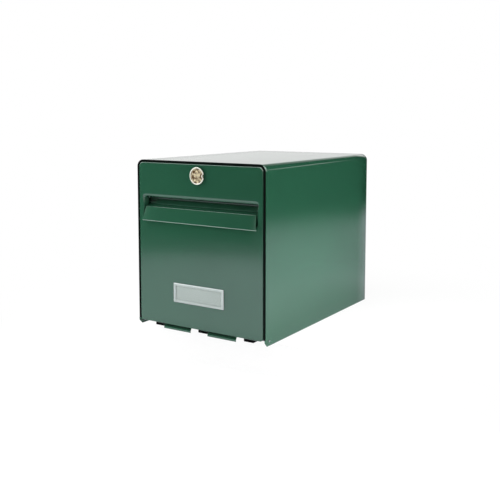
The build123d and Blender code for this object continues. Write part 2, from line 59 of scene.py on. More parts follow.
# places that the other shapes are worked out from, all in millimetres
casingLow, casingHigh = nodeBox("casing_wrap")
doorLow, doorHigh = nodeBox("door_panel")
sealFoot = float(nodeBox("door_seal")[0][2])
flapLow, flapHigh = nodeBox("slot_flap")
rodLow, rodHigh = nodeBox("flap_rod")
hingeLow, hingeHigh = nodeBox("hinge_rod")
plateLow, plateHigh = nodeBox("nameplate_frame")
coverLow, coverHigh = nodeBox("lock_dust_cover")
rivetLow, rivetHigh = nodeBox("dust_cover_rivet")
frontY = float(doorLow[1])
flapAxis = (rodLow + rodHigh)[1:] / 2
doorAxis = (hingeLow + hingeHigh)[1:] / 2
rodPastCheek = 2.8  # the flap's rod passes the cheeks beside the slot by this much
slotHalf = float(rodHigh[0]) - rodPastCheek


# camera

cameraView = {
    "lens": 54.36,
    "sensor": 36.0,
    "place": (797.9, -1259.0, 395.0),
    "turn": 33.01,  # degrees round to the right of the door
    "dip": 5.73,  # degrees below level
    "shift": -0.12,  # keeps the uprights nearly parallel
    "nearest": 10.0,
}


def placeCamera(view):
    camera = bpy.data.objects.new("camera", bpy.data.cameras.new("camera"))
    camera.data.lens = view["lens"]
    camera.data.sensor_width = view["sensor"]
    camera.data.shift_y = view["shift"]
    camera.data.clip_start = view["nearest"] * mm
    camera.location = Vector(view["place"]) * mm
    camera.rotation_euler = (math.radians(90 - view["dip"]), 0, math.radians(view["turn"]))
    bpy.context.scene.collection.objects.link(camera)
    bpy.context.scene.camera = camera


placeCamera(cameraView)
print("camera placed")


# materials

def colour(hexText, alpha=1.0):
    # sRGB hex to the linear colour that the shaders take
    srgb = np.array([int(hexText[i:i + 2], 16) for i in (0, 2, 4)]) / 255
    linear = np.where(srgb <= 0.04045, srgb / 12.92, ((srgb + 0.055) / 1.055) ** 2.4)
    return (*map(float, linear), alpha)


def addNode(tree, kind, settings=None, **links):
    # One node: settings are its properties or socket values, and links are sockets fed by another node's
    # output. A link called i and a number means the socket with that number.
    node = tree.nodes.new(kind)
    for key, value in (settings or {}).items():
        if isinstance(key, str) and hasattr(node, key):
            setattr(node, key, value)
        else:
            node.inputs[key].default_value = value
    for key, output in links.items():
        socket = int(key[1:]) if key[1:].isdigit() else key
        tree.links.new(output, node.inputs[socket])
    return node


def emptyTree(holder):
    # the node tree of a new material or world, with nothing in it
    holder.use_nodes = True
    holder.node_tree.nodes.clear()
    return holder.node_tree


def newMaterial(name):
    # a material with one shader, its tree, and the place on the piece that patterns follow
    material = bpy.data.materials.new(name)
    tree = emptyTree(material)
    place = addNode(tree, "ShaderNodeTexCoord").outputs["Object"]
    shader = addNode(tree, "ShaderNodeBsdfPrincipled")
    addNode(tree, "ShaderNodeOutputMaterial", Surface=shader.outputs[0])
    return material, tree, place, shader


def paintedLightTint(tree, tint, look):
    # A piece can carry a painted-light value: 1 where a painted highlight brightens it, and -1 where painted
    # shade darkens it.
    paintedLight = addNode(tree, "ShaderNodeAttribute", {"attribute_name": "paintedLight"}).outputs["Fac"]
    bright = addNode(tree, "ShaderNodeMix", {"data_type": "RGBA", 7: colour(look["paintedHighlight"])},
                     i0=paintedLight, i6=tint)
    shadeShare = addNode(tree, "ShaderNodeMath", {"operation": "MULTIPLY", 1: -1.0, "use_clamp": True}, i0=paintedLight)
    paintedTint = addNode(tree, "ShaderNodeMix", {"data_type": "RGBA", 7: colour(look["paintedShade"])},
                   i0=shadeShare.outputs[0], i6=bright.outputs[2])
    return paintedTint.outputs[2]


powderCoat = {
    "green": "26553f",
    "deeper": "224e3a",
    # the next two colours are painted light: a painted highlight and painted shade
    "paintedHighlight": "d6efe3",
    "paintedShade": "11291d",
    "roughness": (0.16, 0.19),
    "coat": 0.8,
    "coatRoughness": 0.11,
    "cloud": 90.0,  # across a patch of slightly other gloss
    "cloudRange": (0.3, 0.7),  # of the noise, from the smoothest patch to the roughest
}


def greenPowderCoat(look):
    # Polyester powder baked on steel: an even dark green whose tint and soft gloss drift a little over it.
    material, tree, place, shader = newMaterial("greenPowderCoat")
    smooth, rough = look["roughness"]
    first, last = look["cloudRange"]
    scale = 1 / (look["cloud"] * mm)
    cloud = addNode(tree, "ShaderNodeTexNoise", {"Scale": scale, "Detail": 1.0}, Vector=place).outputs["Fac"]
    tints = {"data_type": "RGBA", 6: colour(look["green"]), 7: colour(look["deeper"])}
    tint = addNode(tree, "ShaderNodeMix", tints, i0=cloud)
    gloss = addNode(tree, "ShaderNodeMapRange",
                    {"From Min": first, "From Max": last, "To Min": smooth, "To Max": rough}, Value=cloud)
    shader.inputs["Coat Weight"].default_value = look["coat"]
    shader.inputs["Coat Roughness"].default_value = look["coatRoughness"]
    # painted highlight and painted shade are laid over the tint where a piece carries them
    tree.links.new(paintedLightTint(tree, tint.outputs[2], look), shader.inputs["Base Color"])
    tree.links.new(gloss.outputs[0], shader.inputs["Roughness"])
    return material


# grain is the size of the fine marks and height their depth
moulded = {
    "rubber": {"colour": "040b08", "roughness": 0.5, "specular": 0.06, "grain": 1.2, "height": 0.004},
    "nylon": {"colour": "020303", "roughness": 0.4, "specular": 0.05, "grain": 0.8, "height": 0.006},
    "card": {"colour": "98a39f", "roughness": 0.85, "specular": 0.3, "grain": 0.5, "height": 0.004},
}


def mouldedMaterial(name, look, patch=20, drift=0.06):
    # Extruded rubber, moulded nylon or card: one colour, with a fine grain that breaks up the gloss. The
    # gloss drifts in patches that are many grains wide.
    material, tree, place, shader = newMaterial(name)
    scale = 1 / (look["grain"] * mm)
    grain = addNode(tree, "ShaderNodeTexNoise", {"Scale": scale, "Detail": 4.0}, Vector=place)
    patches = addNode(tree, "ShaderNodeTexNoise", {"Scale": scale / patch, "Detail": 3.0}, Vector=place)
    gloss = addNode(tree, "ShaderNodeMapRange",
                    {"To Min": look["roughness"] - drift, "To Max": look["roughness"] + drift},
                    Value=patches.outputs["Fac"])
    bump = addNode(tree, "ShaderNodeBump", {"Strength": 1.0, "Distance": look["height"] * mm},
                   Height=grain.outputs["Fac"])
    shader.inputs["Base Color"].default_value = colour(look["colour"])
    shader.inputs["Specular IOR Level"].default_value = look["specular"]
    tree.links.new(gloss.outputs[0], shader.inputs["Roughness"])
    tree.links.new(bump.outputs[0], shader.inputs["Normal"])
    return material


metals = {
    # for each metal the third colour is a painted highlight and the fourth painted shade
    "brass": {"light": "fff0c8", "dark": "5e3f1e", "paintedHighlight": "fdfff2", "paintedShade": "24301c", "bare": 0.5,
              "roughness": (0.3, 0.42), "stretch": (1, 1, 1), "grain": 5.5, "spread": 0.12},
    "zinc": {"light": "d9dadb", "dark": "aeb2b5", "paintedHighlight": "e6e7e8", "paintedShade": "6d7072", "bare": 1.0,
             "roughness": (0.25, 0.42), "stretch": (0.3, 1, 1), "grain": 2.5, "spread": 0.5},
    "pewter": {"light": "c3ccc9", "dark": "b4bdba", "paintedHighlight": "d6dedc", "paintedShade": "4c5653", "bare": 0.3,
               "roughness": (0.36, 0.46), "stretch": (0.1, 1, 1), "grain": 0.8, "spread": 0.5},
}


def metalMaterial(name, look, middle=0.5):
    # Brass under yellowed lacquer, bright zinc plate or satin anodised aluminium: metal with marks in the
    # finish. What isn't bare metal is the lacquer's own colour. Marks turn from light to dark round the
    # middle of the noise.
    material, tree, place, shader = newMaterial(name)
    smooth, rough = look["roughness"]
    stretched = addNode(tree, "ShaderNodeMapping", {"Scale": look["stretch"]}, Vector=place)
    marks = addNode(tree, "ShaderNodeTexNoise", {"Scale": 1 / (look["grain"] * mm), "Detail": 5.0},
                    Vector=stretched.outputs[0]).outputs["Fac"]
    stain = addNode(tree, "ShaderNodeMapRange",
                    {"From Min": middle - look["spread"], "From Max": middle + look["spread"]}, Value=marks)
    tints = {"data_type": "RGBA", 6: colour(look["light"]), 7: colour(look["dark"])}
    tint = addNode(tree, "ShaderNodeMix", tints, i0=stain.outputs[0])
    gloss = addNode(tree, "ShaderNodeMapRange", {"To Min": smooth, "To Max": rough}, Value=marks)
    shader.inputs["Metallic"].default_value = look["bare"]
    # painted highlight and painted shade are laid over the tint where a piece carries them
    tree.links.new(paintedLightTint(tree, tint.outputs[2], look), shader.inputs["Base Color"])
    tree.links.new(gloss.outputs[0], shader.inputs["Roughness"])
    return material


acrylic = {"tint": "e4ece9", "alpha": 0.12, "ior": 1.49, "roughness": (0.06, 0.16), "haze": 6.0}


def clearAcrylic(look):
    # Thin acrylic sheet: it lets the card show and adds a gloss of its own, hazy in patches from handling.
    material, tree, place, shader = newMaterial("clearAcrylic")
    smooth, rough = look["roughness"]
    scale = 1 / (look["haze"] * mm)
    haze = addNode(tree, "ShaderNodeTexNoise", {"Scale": scale, "Detail": 4.0}, Vector=place).outputs["Fac"]
    gloss = addNode(tree, "ShaderNodeMapRange", {"To Min": smooth, "To Max": rough}, Value=haze)
    shader.inputs["Base Color"].default_value = colour(look["tint"])
    shader.inputs["Alpha"].default_value = look["alpha"]
    shader.inputs["IOR"].default_value = look["ior"]
    tree.links.new(gloss.outputs[0], shader.inputs["Roughness"])
    return material


finishes = {
    "green_paint": greenPowderCoat(powderCoat),
    "black_rubber": mouldedMaterial("blackRubber", moulded["rubber"]),
    "black_nylon": mouldedMaterial("blackNylon", moulded["nylon"]),
    "grey_card": mouldedMaterial("greyCard", moulded["card"]),
    "zinc_steel": metalMaterial("zincPlatedSteel", metals["zinc"]),
    "brass": metalMaterial("polishedBrass", metals["brass"]),
    "silver_frame": metalMaterial("anodisedAluminium", metals["pewter"]),
    "clear_window": clearAcrylic(acrylic),
}
for subpart in frame["record"]["subparts"]:
    for holder in nodes[subpart["node"]].material_slots:
        holder.material = finishes[subpart["material_slot"]]
print("materials made and given to the nodes")


# shapes

def roundedPath(corners, radii, turnStep=9.0):
    # A line through the corners, each replaced by an arc of its radius; radius 0 keeps the point itself.
    # The turn step is the angle between points of an arc, in degrees.
    points = [np.array(corners[0], float)]
    for before, here, after, radius in zip(corners, corners[1:], corners[2:], radii):
        here, back = np.array(here, float), np.subtract(before, here)
        ahead = np.subtract(after, here)
        back, ahead = back / np.linalg.norm(back), ahead / np.linalg.norm(ahead)
        if radius == 0:
            points.append(here)
            continue
        half = math.acos(np.clip(back @ ahead, -1, 1)) / 2
        middle = here + (back + ahead) / np.linalg.norm(back + ahead) * radius / math.sin(half)
        reach = radius / math.tan(half)
        start, end = here + back * reach, here + ahead * reach
        first, last = (math.atan2(*(spot - middle)[::-1]) for spot in (start, end))
        turn = (last - first + math.pi) % (2 * math.pi) - math.pi
        angles = first + turn * np.linspace(0, 1, max(2, round(abs(math.degrees(turn)) / turnStep) + 1))
        points += list(middle + radius * np.column_stack([np.cos(angles), np.sin(angles)]))
    points.append(np.array(corners[-1], float))
    return np.array(points)


def gridFaces(rows, columns, wrapRows=False, wrapColumns=False):
    # The four corner numbers of every cell of a grid of points, row by row.
    row = np.arange(rows if wrapRows else rows - 1)[:, None]
    column = np.arange(columns if wrapColumns else columns - 1)[None, :]
    nextRow, nextColumn = (row + 1) % rows, (column + 1) % columns
    cells = [row * columns + column, nextRow * columns + column,
             nextRow * columns + nextColumn, row * columns + nextColumn]
    return np.stack(np.broadcast_arrays(*cells), axis=-1)


def endCaps(rows, columns, order=1):
    # one face on the first row of a grid and one on the last, which face opposite ways
    row = np.arange(columns)[None, ::order]
    return [row, (rows - 1) * columns + row[:, ::-1]]


def alongX(line, xLow, xHigh, stations):
    # A grid: a line in Y and Z carried along X. Its start and end may differ from point to point.
    x = xLow + (xHigh - xLow) * np.linspace(0, 1, stations)[:, None]
    return np.stack(np.broadcast_arrays(x, line[:, 0], line[:, 1]), axis=-1)


def makeMesh(name, points, faces):
    # Points in millimetres, and faces as arrays whose rows are point numbers. Unused points are dropped.
    used = np.unique(np.concatenate([np.ravel(face) for face in faces]))
    renumber = np.zeros(len(points), int)
    renumber[used] = np.arange(len(used))
    mesh = bpy.data.meshes.new(name)
    rows = [row for face in faces for row in renumber[np.reshape(face, (-1, np.shape(face)[-1]))].tolist()]
    mesh.from_pydata((np.asarray(points)[used] * mm).tolist(), [], rows)
    mesh.update()
    piece = bpy.data.objects.new(name, mesh)
    bpy.context.scene.collection.objects.link(piece)
    return piece


def dress(piece, finish, body, *stoodFor, sharp=35):
    # smooth shading with sharp creases, then finish, body and the node that the piece stands for
    piece.data.materials.append(finishes[finish])
    piece.data.polygons.foreach_set("use_smooth", [True] * len(piece.data.polygons))
    piece.data.set_sharp_from_angle(angle=math.radians(sharp))
    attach(piece, body)
    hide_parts(*stoodFor)
    print(piece.name, "made,", len(piece.data.polygons), "faces")
    return piece


def setValues(piece, name, values):
    # one number on each point of a piece, for its material to read
    values = np.asarray(values, float).ravel()
    piece.data.attributes.new(name, "FLOAT", "POINT").data.foreach_set("value", values)


def pointsOf(piece):
    # every point of a piece, in millimetres
    spots = np.empty(3 * len(piece.data.vertices))
    piece.data.vertices.foreach_get("co", spots)
    return spots.reshape(-1, 3) / mm


def ringPaintedLight(values, rings, columns):
    # painted light given ring by ring from the first one, and none on the rest
    return np.repeat(values + [0] * (rings - len(values)), columns)


def cornerHighlight(piece, half, high, bend, look, slack=1.0):
    # A painted highlight at the two upper front corners: most at one angle round the bend, counted from
    # straight up, and least beyond the given distances from the outline and from the front edge.
    x, y, z = pointsOf(piece).T
    aside, above = abs(x) - half + bend, z - high + bend
    turn = np.degrees(np.arctan2(aside, above))
    inBend = (aside > -slack) & (above > -slack)
    byTurn = np.clip(1 - abs(turn - look["angle"]) / look["spread"], 0, 1)
    byInset = np.clip(1 - abs(bend - np.hypot(aside, above) - look["inset"]) / look["width"], 0, 1)
    byDepth = np.clip((look["back"] - (y - frontY)) / look["fade"], 0, 1)
    setValues(piece, "paintedLight", look["most"] * inBend * byTurn * byInset * byDepth)


def formSheet(name, grid, kept, thickness, offset, rim=0.25, foldAngle=50):
    # Sheet metal from a grid on its surface: the kept cells get the sheet's thickness, and the cut edges,
    # which turn by more than the fold angle, are rounded by the rim.
    rows, columns = grid.shape[:2]
    cells = gridFaces(rows, columns, wrapColumns=kept.shape[1] == columns)
    piece = makeMesh(name, grid.reshape(-1, 3), [cells[kept]])
    wall = piece.modifiers.new("thickness", "SOLIDIFY")
    wall.thickness, wall.offset, wall.use_even_offset = thickness * mm, offset, True
    edge = piece.modifiers.new("cutEdges", "BEVEL")
    edge.width, edge.segments = rim * mm, 2
    edge.limit_method, edge.angle_limit = "ANGLE", math.radians(foldAngle)
    bpy.context.view_layer.update()
    finished = bpy.data.meshes.new_from_object(piece.evaluated_get(bpy.context.evaluated_depsgraph_get()))
    piece.modifiers.clear()
    piece.data = finished
    return piece


# casing

casing = {
    "sheet": 1.0,
    "bend": 13.0,
    "hemBend": 2.0,
    "hemWidth": 10.0,
    "hemStart": 34.0,
    "toe": 13.0,  # below this the sides reach forward past the trim
    "chamfer": 8.0,
    "trimDepth": 2.2,
    "highlightRow": 4.5,  # a row of points where the painted highlight fades
    "rearStart": 60.0,  # from here to the back lie evenly spaced rows
    "rearRows": 9,
    # painted highlight round the upper front corners
    "paintedLight": {"angle": 56, "spread": 30, "inset": 0, "width": 1.5, "back": 5.2, "fade": 2.5, "most": 1.0},
}


def pressedCasing(look):
    # Arch profile of the outer face carried along Y. Below the chamfer's height a row starts later by as
    # much as the point lies below that height, and cells ahead of the trim and of the hems are left out.
    side, top, base = casingHigh[0], casingHigh[2], casingLow[2]
    inner = side - look["hemWidth"]
    half = [(side, z) for z in (look["chamfer"], look["toe"], top / 3, 2 * top / 3, top)]
    corners = [(-inner, base), (-side, base), *[(-x, z) for x, z in half],
               *half[::-1], (side, base), (inner, base)]
    bends = [look["hemBend"], 0, 0, 0, 0, look["bend"]]
    profile = roundedPath(corners, bends + bends[::-1])
    back = casingHigh[1] - frontY
    rear = np.linspace(look["rearStart"], back, look["rearRows"])
    depths = np.array([0, look["trimDepth"], look["highlightRow"], look["chamfer"], look["hemStart"], *rear])
    x, z = profile[:, 0][:, None], profile[:, 1][:, None]
    late = np.clip(look["chamfer"] - z, 0, None)
    depth = np.where(depths < look["hemStart"], late + depths * (1 - late / look["hemStart"]), depths)
    grid = np.stack([x + 0 * depth, frontY + depth, z + 0 * depth], axis=-1)
    middleZ, middleX = (z[1:] + z[:-1]) / 2, (x[1:] + x[:-1]) / 2
    middleDepth = (depths[1:] + depths[:-1])[None] / 2
    beforeTrim = (middleZ > look["toe"]) & (middleDepth < look["trimDepth"])
    inHem = (abs(middleX) < side - look["sheet"]) & (middleZ < look["hemBend"])
    beforeHem = inHem & (middleDepth < look["hemStart"])
    piece = formSheet("pressed_casing", grid, ~(beforeTrim | beforeHem), look["sheet"], -1)
    # a painted highlight round the casing's upper front corners
    cornerHighlight(piece, side, top, look["bend"], look["paintedLight"])
    return dress(piece, "green_paint", "casing", "casing_wrap")


pressedCasing(casing)


# rubber trim

trim = {
    "width": 3.8,
    "depth": 2.2,
    "crown": 1.1,
    "shoulder": 0.4,
    "leg": 1.8,  # the part that grips the sheet's inner face
    "legDepth": 6.0,
    "legRound": 0.5,
}


def rubberTrim(look):
    # Bead profile carried along the arch of the casing's front edge: across the path lies the distance
    # inside the casing's outer face, and along Y the depth behind the door's face.
    side, top = casingHigh[0], casingHigh[2]
    width, depth, crown, shoulder = (look[key] for key in ("width", "depth", "crown", "shoulder"))
    legStart, legEnd, legFoot = casing["sheet"], casing["sheet"] + look["leg"], depth + look["legDepth"]
    bead = roundedPath(
        [(legEnd, depth), (width, depth), (width, 0), (0, 0), (0, depth), (legStart, depth)],
        [shoulder, crown, crown, shoulder], 15)
    leg = roundedPath(
        [(legStart, depth), (legStart, legFoot), (legEnd, legFoot), (legEnd, depth)],
        [look["legRound"]] * 2, 30)
    profile = np.vstack([bead, leg[1:-1]])
    arch = [(-side, sealFoot), (-side, top / 2), (-side, top), (side, top), (side, top / 2), (side, sealFoot)]
    path = roundedPath(arch, [0, casing["bend"], casing["bend"], 0], 5)
    ahead = np.gradient(path, axis=0)
    ahead /= np.linalg.norm(ahead, axis=1)[:, None]
    inwards = np.column_stack([ahead[:, 1], -ahead[:, 0]])
    inwards[[0, -1]] = [[1, 0], [-1, 0]]
    across = path[:, None, :] + inwards[:, None, :] * profile[None, :, :1]
    y = frontY + np.broadcast_to(profile[None, :, 1], across.shape[:2])
    grid = np.stack([across[..., 0], y, across[..., 1]], axis=-1)
    rows, columns = grid.shape[:2]
    cells = [gridFaces(rows, columns, wrapColumns=True), *endCaps(rows, columns)]
    piece = makeMesh("rubber_trim", grid.reshape(-1, 3), cells)
    return dress(piece, "black_rubber", "casing", "door_seal", sharp=50)


rubberTrim(trim)


# door

door = {
    "sheet": 1.0,
    "edge": 2.0,
    "return": 12.0,
    "highCorner": 8.7,
    "lowCorner": 7.0,
    "returnCut": 10.99,
    "notchCut": 5.63,
    "notchHalf": 10.7,
    "slotTop": 243.5,
    "slotBottom": 206.0,
    "slotCorner": 4.0,
    "topRoll": 6.5,
    "sideRoll": 1.6,
    "ceiling": 9.5,
    "sill": 9.0,
    "cheek": 18.0,
    "cheekRise": 27.0,
    "rollFade": 7.0,  # the roll above the slot fades out down each end over this length
    "edgeRings": 7,
    "faceRings": 6,
    "rollRings": 8,
    "spacing": 12.0,  # between points on the straight stretches
    "keyStep": 0.005,  # of the points of both outlines that share such a step, one is kept
    # painted highlight along the edge round the upper corners
    "paintedLight": {"angle": 35, "spread": 50, "inset": 0.7, "width": 0.8, "back": 2.2, "fade": 0.5, "most": 0.75},
}


def closedLoop(half, low, high, lowRadius, highRadius, extra=()):
    # Rectangle with rounded corners, as a line run round from the middle of its top. The extra places get a
    # point each along its foot.
    corners = [(0, high), (half, high), (half, low), *[(x, low) for x in sorted(extra, reverse=True)],
               (-half, low), (-half, high), (0, high)]
    return roundedPath(corners, [highRadius, lowRadius, *[0] * len(extra), lowRadius, highRadius], 5)


def spread(line, step):
    # the same line with more points, none further apart than the step
    parts = []
    for start, end in zip(line, line[1:]):
        count = max(1, math.ceil(np.linalg.norm(end - start) / step))
        parts.append(start + (end - start) * np.linspace(0, 1, count, endpoint=False)[:, None])
    return np.vstack([*parts, line[-1:]])


slideScale = 100.0  # a slide of this many millimetres counts as much as a fan of one radian


def roundKey(points, hub, middle):
    # How far round the slot a point lies, as one number. It slides along the slot's middle line and fans
    # round that line's two ends, which lie at plus and minus the hub distance.
    x, z = points[:, 0], points[:, 1] - middle
    foot = np.clip(x, -hub, hub)
    fan = np.arctan2(x - foot, z) % (2 * np.pi)
    fan = np.where((z > 0) & (x < 0) & (fan == 0), 2 * np.pi, fan)
    slide = np.where(z < 0, 2 * hub - foot, np.where(x < 0, 4 * hub + foot, foot))
    return fan + slide / slideScale


def atKeys(line, hub, middle, keys, step=0.1, smooth=5):
    # The points of a closed line at these keys, and its outward normal there, smoothed over a few steps.
    fine = spread(line, step)[:-1]
    shifts = range(1, smooth + 1)
    ahead = sum(np.roll(fine, -shift, axis=0) - np.roll(fine, shift, axis=0) for shift in shifts)
    normal = np.column_stack([-ahead[:, 1], ahead[:, 0]])
    places = roundKey(fine, hub, middle)
    whole = 2 * np.pi + 4 * hub / slideScale
    pick = [np.interp(keys, places, values, period=whole) for values in (*fine.T, *normal.T)]
    unit = np.column_stack(pick[2:])
    return np.column_stack(pick[:2]), unit / np.linalg.norm(unit, axis=1)[:, None]


def pressedDoor(look):
    # Rings round the mail slot. From the rear edge of the return they come forward, turn the edge with a
    # quarter arc, run over the face to the slot, and roll inwards there: a ring is the outline moved along
    # its normal.
    boxes = [nodeBox("hinge_bearing_" + side) for side in ("left", "middle", "right")]
    bearings = [float((low[0] + high[0]) / 2) for low, high in boxes]
    notches = [x + side * look["notchHalf"] for x in bearings for side in (-1, 1)]
    half, foot, head = doorHigh[0], doorLow[2], doorHigh[2]
    outline = closedLoop(half, foot, head, look["lowCorner"], look["highCorner"], notches)
    slot = closedLoop(slotHalf, look["slotBottom"], look["slotTop"], look["slotCorner"], look["slotCorner"])
    middle = (look["slotBottom"] + look["slotTop"]) / 2
    hub = slotHalf - (look["slotTop"] - look["slotBottom"]) / 2
    places = [roundKey(spread(line, look["spacing"])[:-1], hub, middle) for line in (outline, slot)]
    keys = np.unique(np.concatenate(places))
    keys = keys[np.unique(np.floor(keys / look["keyStep"]), return_index=True)[1]]
    outer, outerNormal = atKeys(outline, hub, middle, keys)
    inner, innerNormal = atKeys(slot, hub, middle, keys)
    fade = np.clip((inner[:, 1] - look["slotTop"] + look["rollFade"]) / look["rollFade"], 0, 1)
    fade = fade * fade * (3 - 2 * fade)
    roll = look["sideRoll"] + (look["topRoll"] - look["sideRoll"]) * fade
    rise = np.clip((inner[:, 1] - look["slotBottom"]) / look["cheekRise"], 0, 1)
    facing = 0.7  # a normal with more than this along an axis belongs to the slot's side that faces that way
    onSide, onTop = abs(innerNormal[:, 0]) > facing, innerNormal[:, 1] > facing
    last = np.where(onSide, look["sill"] + (look["cheek"] - look["sill"]) * rise, look["sill"])
    last = np.where(onTop, look["ceiling"], last)
    rings = []
    for depth in (look["return"], look["returnCut"], look["notchCut"], look["edge"]):
        rings.append((outer, depth + 0 * keys))
    for turn in np.linspace(0, np.pi / 2, look["edgeRings"] + 1)[1:]:
        rings.append((outer - outerNormal * look["edge"] * (1 - math.cos(turn)),
                      look["edge"] * (1 - math.sin(turn)) + 0 * keys))
    faceEdge, slotEdge = rings[-1][0], inner + innerNormal * roll[:, None]
    for share in np.linspace(0, 1, look["faceRings"] + 1)[1:]:
        rings.append((faceEdge + (slotEdge - faceEdge) * share, 0 * keys))
    for turn in np.linspace(0, np.pi / 2, look["rollRings"] + 1)[1:]:
        outside = (roll * (1 - math.sin(turn)))[:, None]
        rings.append((inner + innerNormal * outside, roll * (1 - math.cos(turn))))
    for share in (0.5, 1):
        rings.append((inner, roll + (last - roll) * share))
    grid = np.array([np.column_stack([place[:, 0], frontY + depth, place[:, 1]]) for place, depth in rings])
    between = (outer + np.roll(outer, -1, axis=0)) / 2
    bottom = between[:, 1] < foot + 0.1
    inNotch = bottom & (abs(between[:, 0][:, None] - bearings).min(axis=1) < look["notchHalf"])
    kept = np.ones((len(rings) - 1, len(keys)), bool)
    kept[0, bottom] = False
    kept[1, inNotch] = False
    piece = formSheet("pressed_door", grid, kept, look["sheet"], -1)
    # a painted highlight along the door's edge round its upper corners
    cornerHighlight(piece, half, head, look["highCorner"], look["paintedLight"])
    return dress(piece, "green_paint", "door", "door_panel")


pressedDoor(door)


# mail flap and hinge leaves

def curl(centre, radius, first, last, step=15):
    # arc of a rolled edge, between two angles in degrees from +Y towards +Z
    angles = np.radians(np.linspace(first, last, max(3, round(abs(last - first) / step) + 1)))
    return np.asarray(centre) + radius * np.column_stack([np.cos(angles), np.sin(angles)])


def touchAngle(point, centre, radius, side):
    # where a line from the point just touches the circle on the chosen side, in degrees round its centre
    reach = np.subtract(point, centre)
    return math.degrees(math.atan2(reach[1], reach[0]) + side * math.acos(radius / np.linalg.norm(reach)))


def stripSheet(name, line, xLow, xHigh, thickness, stations=9):
    # a bent sheet whose middle line is carried along X
    kept = np.ones((stations - 1, len(line) - 1), bool)
    return formSheet(name, alongX(line, xLow, xHigh, stations), kept, thickness, 0)


flap = {
    "sheet": 1.0,
    "barrel": 2.06,  # middle of the sheet round the rod
    "crease": (2.1, 225.3),  # behind the door's face, and height
    "ledgeFall": 4.0,
    "bends": (2.0, 0.6),  # at the back and the front of the ledge
    "lip": 1.0,  # middle of the sheet in the rolled lip
    "lipGap": 0.02,  # keeps the lip inside the node's own box
    "wrap": (300, 290),  # how far the barrel and the lip are rolled, in degrees
    "flare": 3.1,  # the front leaf widens by this much on each side
    "lipHighlight": 0.3,
    "lipHighlightTop": 0.4,  # painted highlight starts this far above the lip's middle
    "shadeFoot": 4.0,  # painted shade starts this far below the rod
    "shadeFade": 3.0,
}


def mailFlap(look):
    # From the rod: the barrel wraps it, a flat leaf hangs down to the ledge, the ledge comes forward to the
    # crease, and the front leaf leans out to the rolled lip. The lip gets a painted highlight, and the sheet
    # round the rod painted shade.
    crease = np.array([frontY + look["crease"][0], look["crease"][1]])
    lipMiddle = flapLow[1:] + look["lip"] + look["sheet"] / 2 + look["lipGap"]
    back = np.array([flapAxis[0], look["crease"][1] + look["ledgeFall"]])
    leave = touchAngle(back, flapAxis, look["barrel"], 1)
    meet = touchAngle(crease, lipMiddle, look["lip"], 1)
    barrel = curl(flapAxis, look["barrel"], leave + look["wrap"][0], leave)
    lip = curl(lipMiddle, look["lip"], meet, meet + look["wrap"][1])
    leaves = roundedPath([barrel[-1], back, crease, lip[0]], look["bends"], 10)
    line = np.vstack([barrel, leaves[1:-1], lip])
    down = np.clip((crease[1] - line[:, 1]) / (crease[1] - lipMiddle[1]), 0, 1)
    half = flapHigh[0] - look["flare"] * (1 - down)
    piece = stripSheet("mail_flap", line, -half, half, look["sheet"])
    z = pointsOf(piece)[:, 2]
    # painted highlight on the lip and painted shade round the rod
    paintedHighlight = look["lipHighlight"] * np.clip(lipMiddle[1] + look["lipHighlightTop"] - z, 0, 1)
    rodShade = np.clip((z - flapAxis[1] + look["shadeFoot"]) / look["shadeFade"], 0, 1)
    setValues(piece, "paintedLight", paintedHighlight - rodShade)
    return dress(piece, "green_paint", "flap", "slot_flap")


mailFlap(flap)

leaf = {
    "sheet": 1.2,
    "eye": 2.76,  # middle of the sheet round the rod
    "wrap": 290,  # how far the eye is rolled, in degrees
    "flatEnd": 3,  # the flat ends this many radii of the eye ahead of the rod
    "lipBend": 3.2,  # behind the door's face
    "lipLean": 2.4,
    "bend": 1.2,
    "hang": 3.2,
}


def hingeLeaves(look):
    # A lip that leans forwards and then hangs straight down, a flat under the door, and an eye rolled round
    # the rod. The slope above the hanging part is darkened with painted shade.
    for side in ("left", "right"):
        low, high = nodeBox("hinge_leaf_" + side)
        flat = doorLow[2] - look["sheet"] / 2
        bend = (frontY + look["lipBend"], flat)
        foot, knee = ((bend[0] - look["lipLean"], low[2] + up) for up in (0, look["hang"]))
        rise = (doorAxis[0] - look["flatEnd"] * look["eye"], flat)
        leave = touchAngle(rise, doorAxis, look["eye"], -1)
        eye = curl(doorAxis, look["eye"], leave, leave - look["wrap"])
        start = roundedPath([foot, knee, bend, rise, eye[0]], [look["sheet"], look["bend"], 0], 10)
        line = np.vstack([start[:-1], eye])
        piece = stripSheet("hinge_leaf_form_" + side, line, low[0], high[0], look["sheet"])
        # painted shade on the slope above the hanging part, under the door
        setValues(piece, "paintedLight", -np.clip(pointsOf(piece)[:, 2] - knee[1], 0, 1))
        dress(piece, "green_paint", "door", "hinge_leaf_" + side)


hingeLeaves(leaf)


# lock cover

cover = {
    "radius": 15.5,
    "rim": 2.3,
    "rimHeight": 0.8,
    "thick": 1.2,
    "backEdge": 0.2,
    "notch": 3.6,
    "notchPlace": 16.0,
    "rays": 28,
    "pointsPerRay": 12,
    "rayHeight": 0.22,
    "rayFullness": 0.7,  # below 1 a ray keeps its height nearer to its ends
    "raysFrom": 5.6,
    "raysTo": 12.6,
    "dome": 4.6,
    "domeHeight": 0.75,
    "innermost": 0.02,  # the last ring, as a share of the first one inside the rim
    "innerRings": 29,
    "rivetClear": 2.7,  # no rays this close to the rivet's middle
    "rivetFade": 0.8,
    # rings from the back: painted shade on the edge, a painted highlight on the rim, and a darker groove
    "paintedLight": [-1, -1, -1, 0.6, 1, 1, 1, 1, 1, 1, 0.4, -0.5],
}


